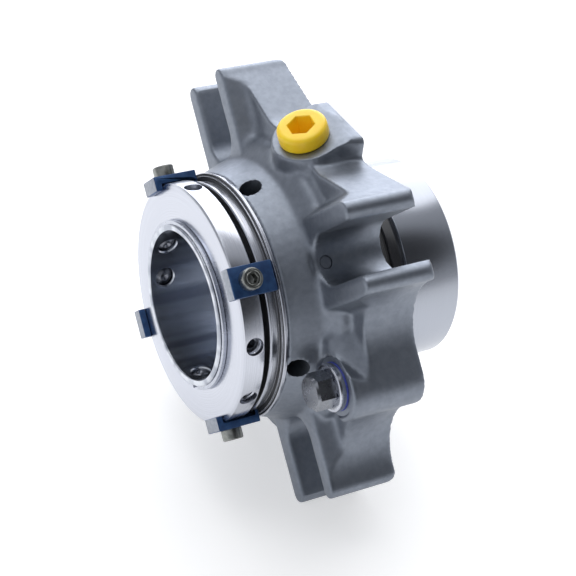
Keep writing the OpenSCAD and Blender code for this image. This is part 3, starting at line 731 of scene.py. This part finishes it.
# Plain turned pieces: body, slot, node, finish, and the closed profile as (radius, place along the shaft)
turnedPieces = {
    "throttleBush": ("gland_body", "carbon", "throttle_bush", carbonAndPaintedShade,
                     [(27.35, -36.04), (32.96, -36.04), (32.96, -41.2), (32.0, -41.7), (27.35, -41.7)]),
    "glandGasket": ("gland_body", "gasket_sheet", "gland_gasket", gasketSheet,
                    [(39.0, -0.6), (42.9, -0.6), (42.9, 0.9), (39.0, 0.9)]),
    "stationaryFace": ("floating_face", "carbon", "stationary_face", carbonAndPaintedShade,
                       [(27.9, -10.16), (31.39, -10.16), (31.39, -3.7), (32.7, -3.7), (32.7, 7.4),
                        (32.3, 7.9), (31.9, 7.9), (31.9, 9.0), (29.0, 9.0), (29.0, 7.9), (27.9, 7.9)]),
    "rotaryFace": ("rotor", "carbide", "rotary_face", siliconCarbide,
                   [(27.3, 9.0), (32.3, 9.0), (32.7, 9.4), (32.7, 15.36), (29.2, 15.36), (29.2, 12.2),
                    (27.3, 12.2)]),
    "rotaryHolder": ("rotor", "turned_steel", "rotary_holder", groundSteel,
                     [(27.04, 15.4), (32.74, 15.4), (32.74, 13.2), (33.7, 13.2), (34.1, 13.6), (34.1, 32.6),
                      (33.3, 33.4), (29.04, 33.4), (29.04, 22.36), (27.04, 22.36)]),
}
for name, (body, slot, node, finish, profile) in turnedPieces.items():
    points, faces = turned(profile)
    ride(newPiece(name, points, [faces], finish), body, slot, node)
print("turned pieces made")

# Sleeve: its nose, the snap ring groove, the thick end and the groove for the shaft ring
sleeve = {"profile": [(25.0, -52.3), (25.3, -52.6), (26.6, -52.6), (27.0, -52.2), (27.0, -52.0),
                      (26.2, -52.0), (26.2, -50.5), (27.0, -50.5), (27.0, 22.4), (29.0, 22.4), (29.0, 33.4),
                      (25.5, 33.4), (25.0, 32.9), (25.0, 29.25), (27.3, 29.25), (27.3, 26.35), (25.0, 26.35)],
          "holeRadius": 3.2, "edgeRadius": 3.55, "edgeSpan": (25.05, 25.5), "holeSpan": (22, 30)}
points, faces = turned(sleeve["profile"], 192)
shaftSleeve = newPiece("shaftSleeve", points, [faces], honedSteelPaintedBands)
# each hole's inner edge is broken by a short cone
hole = headWithFlats([(sleeve["holeSpan"][0], sleeve["edgeRadius"], None),
                      (sleeve["edgeSpan"][0], sleeve["edgeRadius"], None),
                      (sleeve["edgeSpan"][1], sleeve["holeRadius"], None),
                      (sleeve["holeSpan"][1], sleeve["holeRadius"], None)], 64)
drilled(shaftSleeve, aroundShaft(hole, grubAngles, ringMiddle))
ride(shaftSleeve, "rotor", "turned_steel", "sleeve")

# Clamp ring, drilled for the grub screws and for the clip screws
ring = {"profile": [(27.04, -50.5), (39.1, -50.5), (40.0, -50.05), (40.0, -43.6), (39.6, -43.2),
                    (27.04, -43.2)],
        "grubRadius": 3.0, "grubSpan": (20, 39.4), "pitch": 1.0, "clipRadius": 2.0, "clipSpan": (34, 44)}
points, faces = turned(ring["profile"], 192, 0.1)
clampRing = newPiece("clampRing", points, [faces], facedSteel)
grubHole = threadedRod(ring["grubRadius"], *ring["grubSpan"], ring["pitch"])
clipHole = rod(ring["clipRadius"], *ring["clipSpan"])
cutters = aroundShaft(grubHole, grubAngles, ringMiddle) + aroundShaft(clipHole, slotAngles, ringMiddle)
drilled(clampRing, cutters)
ride(clampRing, "rotor", "turned_steel", "clamp_ring")

# Snap ring: a flat ring of rounded section, swept from one side of its gap to the other
snap = {"inner": 26.24, "outer": 28.3, "front": -51.9, "rear": -50.55,
        "gapAngle": 152, "gap": 3.2, "rounding": 0.25, "steps": 120}


def snapRing(s):
    # section point (r, x) carried round from one end of the gap to the other: (x, -r sin a, r cos a)
    section = softened([(s["inner"], s["front"]), (s["outer"], s["front"]), (s["outer"], s["rear"]),
                        (s["inner"], s["rear"])], s["rounding"])
    half = math.asin(s["gap"] / 2 / s["outer"])
    middle = math.radians(s["gapAngle"])
    a = np.linspace(middle + half, middle - half + 2 * math.pi, s["steps"])
    x = np.broadcast_to(section[:, 1], (len(a), len(section)))
    points = np.stack([x, -np.outer(np.sin(a), section[:, 0]), np.outer(np.cos(a), section[:, 0])], -1)
    return closedSweep(points.reshape(-1, 3), len(a), len(section))


points, sets = snapRing(snap)
ride(newPiece("snapRing", points, sets, springSteel), "rotor", "spring_wire", "snap_ring")

# Grub screws: hexagon socket outside, cup point inside the sleeve
grub = {"radius": 2.96, "top": 37.0, "socket": 3.0, "socketDepth": 3.0, "tip": 25.4}


def grubScrew(g):
    # from the cup up the shank to the chamfer, and down the socket
    top, tip, r = g["top"], g["tip"], g["radius"]
    return headWithFlats([(tip + 0.9, 0.25, None), (tip, 1.3, None), (tip, 1.6, None), (tip + 1.0, r, None),
                          (top - 0.35, r, None), (top, r - 0.35, None), (top, None, g["socket"] + 0.25),
                          (top - 0.2, None, g["socket"]), (top - g["socketDepth"], None, g["socket"])])


points, sets = joined(aroundShaft(grubScrew(grub), grubAngles, ringMiddle))
ride(newPiece("grubScrews", points, sets, grubSteel), "rotor", "grub_steel", "grub_screws")

# Setting clips: a flat bar with a lip over the ring and a tongue in the collar's groove
clip = {"width": 9.8, "edge": 0.3, "rounding": 0.35,
        "profile": [(-53.0, 37.8), (-50.6, 37.8), (-50.6, 40.05), (-39.3, 40.05), (-39.3, 38.6),
                    (-37.9, 38.6), (-37.9, 42.65), (-52.7, 42.65), (-53.0, 42.35)]}


def clipBar(c):
    # side view point (x, z) drawn across the bar; towards each end it moves inwards along its own normal,
    # by nothing where the end's edge begins and by the size of that edge at the end itself
    p = softened(c["profile"], c["rounding"])
    after, before = np.roll(p, -1, 0), np.roll(p, 1, 0)
    tangent = after - before
    normal = np.stack([tangent[:, 1], -tangent[:, 0]], -1)
    normal /= np.linalg.norm(normal, axis=1, keepdims=True)
    normal *= np.sign((p[:, 0] * after[:, 1] - after[:, 0] * p[:, 1]).sum())
    e, half = c["edge"], c["width"] / 2
    stations = [(-half, e), (-half + 0.3 * e, 0.3 * e), (-half + e, 0), (half - e, 0),
                (half - 0.3 * e, 0.3 * e), (half, e)]
    rows = []
    for y, inset in stations:
        q = p - normal * inset
        rows.append(np.stack([q[:, 0], np.full(len(q), y), q[:, 1]], -1))
    return closedSweep(np.vstack(rows), len(stations), len(p))


for number, angle in enumerate(slotAngles, 1):
    points, sets = clipBar(clip)
    bar = newPiece("settingClip%d" % number, placed(points, turnAbout("X", angle)), sets, bluedSteel)
    frontFinishAndPaintedShade(bar, sawnSteel)
    ride(bar, "rotor", "blue_steel", "setting_clip_%d" % number)

# Clip screws: a cylinder head with a hexagon socket
clipScrew = {"head": 3.45, "seat": 42.65, "height": 3.7, "shank": 1.95, "tip": 34.6,
             "socket": 2.9, "depth": 3.1}


def socketScrew(s):
    # from the tip up the shank, round the head, across a shallow ring and down the socket
    low, top, r = s["seat"], s["seat"] + s["height"], s["head"]
    return headWithFlats([(s["tip"], s["shank"] - 0.3, None), (s["tip"] + 0.3, s["shank"], None),
                          (low, s["shank"], None), (low, r - 0.15, None), (low + 0.15, r, None),
                          (top - 0.5, r, None), (top - 0.2, r - 0.12, None), (top - 0.04, r - 0.4, None),
                          (top, r - 0.6, None), (top, r - 0.85, None), (top - 0.22, r - 1.05, None),
                          (top - 0.22, r - 1.3, None), (top - 0.1, r - 1.45, None),
                          (top - 0.1, None, s["socket"] + 0.3), (top - 0.3, None, s["socket"]),
                          (top - s["depth"], None, s["socket"]), (top - s["depth"] - 0.5, 0.2, None)])


points, sets = joined(aroundShaft(socketScrew(clipScrew), slotAngles, ringMiddle))
ride(newPiece("clipScrews", points, sets, screwSteel), "rotor", "screw_steel", "clip_screws")

# Flush plug: a moulded head with a hexagon socket, on its tilted port
plug = {"head": 8.2, "thick": 5.2, "shank": 6.56, "length": 9.5,
        "socket": 7.8, "socketFloor": -2.0, "turn": 23}


def flushPlug(s):
    # from the end of the shank up to the round shoulder of the head, and down the socket
    h, t = s["head"], s["thick"]
    return headWithFlats([(-s["length"], s["shank"] - 0.5, None), (0.5 - s["length"], s["shank"], None),
                          (0.0, s["shank"], None), (0.0, h - 0.45, None), (0.3, h - 0.1, None),
                          (0.7, h, None), (t - 1.4, h - 0.03, None), (t - 0.95, h - 0.14, None),
                          (t - 0.55, h - 0.38, None), (t - 0.25, h - 0.75, None), (t - 0.07, h - 1.2, None),
                          (t, h - 1.75, None), (t, None, s["socket"] + 0.5),
                          (t - 0.25, None, s["socket"] + 0.06), (t - 0.5, None, s["socket"]),
                          (s["socketFloor"], None, s["socket"] - 0.2)], 96, s["turn"])


points, sets = flushPlug(plug)
atFlushPort = Matrix.Translation(casting["padMiddle"]) @ turnAbout("Y", -casting["padTilt"])
points = placed(points, atFlushPort)
ride(newPiece("flushPlug", points, sets, yellowPlastic), "gland_body", "yellow_plastic", "flush_plug")

# Hexagon plug of the side port, with its flange and its bonded washer
hexPlug = {"flats": 10.7, "height": 6.5, "washer": 2.9, "shank": 4.96, "length": 9.0, "turn": 11.3,
           "hardEdge": 12}
washer = {"seal": [(5.1, 0.02), (7.9, 0.02), (7.9, 0.42), (7.5, 0.5), (5.1, 0.5)],
          "plate": [(5.1, 0.5), (7.6, 0.5), (7.75, 0.65), (7.75, 2.6), (7.4, 2.9), (5.1, 2.9)],
          "rounding": 0.08}
seatX, seatY, seatZ = casting["sideSeat"]
atSidePort = turnAbout("X", 90) @ Matrix.Translation((seatX, seatZ, -seatY)) @ turnAbout("Y", -90)


def sidePlug(s):
    # from the end of the shank up to the hexagon, whose corners are turned off at both ends
    w, top = s["washer"], s["washer"] + s["height"]
    corner = s["flats"] / 2 / math.cos(math.radians(30))
    return headWithFlats([(-s["length"], s["shank"] - 0.6, None), (0.6 - s["length"], s["shank"], None),
                          (w, s["shank"], None), (w, s["flats"] / 2 + 0.1, None),
                          (w + 0.35, corner, s["flats"]), (w + 0.9, corner + 1, s["flats"]),
                          (top - 0.8, corner + 0.02, s["flats"]),
                          (top, s["flats"] / 2 - 0.2, s["flats"])], 96, s["turn"])


def sideRing(name, profile, finish):
    # a turned ring whose axis is stood on the seat of the side port
    points, faces = turned(profile, 96, washer["rounding"])
    points = placed(points[:, [1, 2, 0]], atSidePort)
    return newPiece(name, points, [outward(points, faces)], finish)


points, sets = sidePlug(hexPlug)
plugPiece = newPiece("sidePlug", placed(points, atSidePort), sets, plugSteel, hexPlug["hardEdge"])
ride(plugPiece, "gland_body", "screw_steel", "side_plug")
washerSeal = sideRing("plugWasherSeal", washer["seal"], blueRubber)
ride(washerSeal, "gland_body", "blue_rubber", "plug_washer")
ride(sideRing("plugFlange", washer["plate"], facedSteel), "gland_body", "screw_steel")
print("screws, plugs and clips made")

# CAD nodes that stay keep their shape and get the finish of the real piece
finishes = {
    "anti_rotation_pins": castSteel, "springs": springSteel, "stationary_holder": turnedSteel,
    "stationary_o_ring": blackRubber, "shaft_o_ring": blackRubber, "rotary_o_ring": blackRubber,
    "drive_pins": turnedSteel,
}
for node, finish in finishes.items():
    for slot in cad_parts[node].material_slots:
        slot.material = finish

# Floor, light and camera, in metres; the camera's own three ways suit the rims in the picture
studio = {
    "floorHeight": cadBox[0][2] - 0.0002, "floorSide": 6.0, "floorGlow": 0.48,
    "worldStrength": 0.62, "screenWay": (0.2, -0.75, 0.63), "screenEdge": (0.82, 0.92),
    "lens": 105.28, "cameraPlace": (-0.26283, -0.38509, 0.33200),
    "right": (0.87461, -0.47209, 0.11042),
    "up": (0.20327, 0.56383, 0.80049),
    "back": (-0.44016, -0.67767, 0.58909),
}


def standing(right, up, back, place):
    # the matrix of a lamp or camera at its place: its own three ways are the columns
    return Matrix([[right[i], up[i], back[i], place[i]] for i in range(3)] + [[0, 0, 0, 1]])


# White painted board, matt, and lit through from below as on a light table, so that shadows stay pale
floorPaint = mottledMaterial("floorPaint", (400.0, "#dedede", "#e2e2e2"), Roughness=0.9, IOR=1.45,
                             Emission_Color=linearColour("#ffffff"), Emission_Strength=studio["floorGlow"])
half, level = studio["floorSide"] / 2 / mm, studio["floorHeight"] / mm
floorPoints = [[-half, -half, level], [half, -half, level], [half, half, level], [-half, half, level]]
floor = newPiece("floor", floorPoints, [np.array([[0, 1, 2, 3]])], floorPaint)

# An even pale room with one dark screen in it, beside the photographer: how far each way points towards it
world = bpy.data.worlds.new("studio")
bpy.context.scene.world = world
world.use_nodes = True
tree = world.node_tree
place = addNode(tree, "ShaderNodeTexCoord")
towards = addNode(tree, "ShaderNodeVectorMath", {"operation": "DOT_PRODUCT"}, {1: studio["screenWay"]},
                  {0: (place, "Generated")})
edgeStart, edgeEnd = studio["screenEdge"]
share = addNode(tree, "ShaderNodeMapRange", {}, {"From Min": edgeStart, "From Max": edgeEnd},
                {"Value": (towards, "Value")})
room = addNode(tree, "ShaderNodeValToRGB", {}, {}, {"Fac": (share, "Result")})
for element, colour in zip(room.color_ramp.elements, ("#dfe2e8", "#454649")):
    element.color = linearColour(colour)
background = tree.nodes["Background"]
tree.links.new(room.outputs["Color"], background.inputs["Color"])
background.inputs["Strength"].default_value = studio["worldStrength"]

# Soft boxes: place, what it faces, width and height in metres, watts, colour
softBoxes = {
    "overhead": ((0.45, 0.85, 0.85), (0, 0, 0), 1.6, 1.6, 15, "#ffffff"),
    "top": ((-0.2, 0.2, 1.2), (0, 0, 0), 0.5, 1.0, 3, "#ffffff"),
    "left": ((-1.0, -0.25, 0.35), (-0.03, 0, 0), 0.7, 0.9, 0.5, "#f4f7ff"),
    "rear": ((0.5, 1.1, 0.4), (0, 0, 0), 1.2, 0.7, 6, "#f0f4ff"),
}
for name, (at, to, width, height, watts, colour) in softBoxes.items():
    lamp = bpy.data.lights.new(name, "AREA")
    lamp.shape, lamp.size, lamp.size_y, lamp.energy = "RECTANGLE", width, height, watts
    lamp.color = linearColour(colour)[:3]
    box = bpy.data.objects.new(name, lamp)
    back = np.array(at, float) - np.array(to, float)
    back /= np.linalg.norm(back)
    side = np.cross([0, 0, 1], back)
    side /= np.linalg.norm(side)
    box.matrix_world = standing(side, np.cross(back, side), back, at)
    bpy.context.scene.collection.objects.link(box)

lens = bpy.data.cameras.new("camera")
lens.lens, lens.sensor_width = studio["lens"], 36.0
camera = bpy.data.objects.new("camera", lens)
camera.matrix_world = standing(studio["right"], studio["up"], studio["back"], studio["cameraPlace"])
bpy.context.scene.collection.objects.link(camera)
bpy.context.scene.camera = camera
bpy.context.scene.view_settings.view_transform = "Standard"
print("studio set")
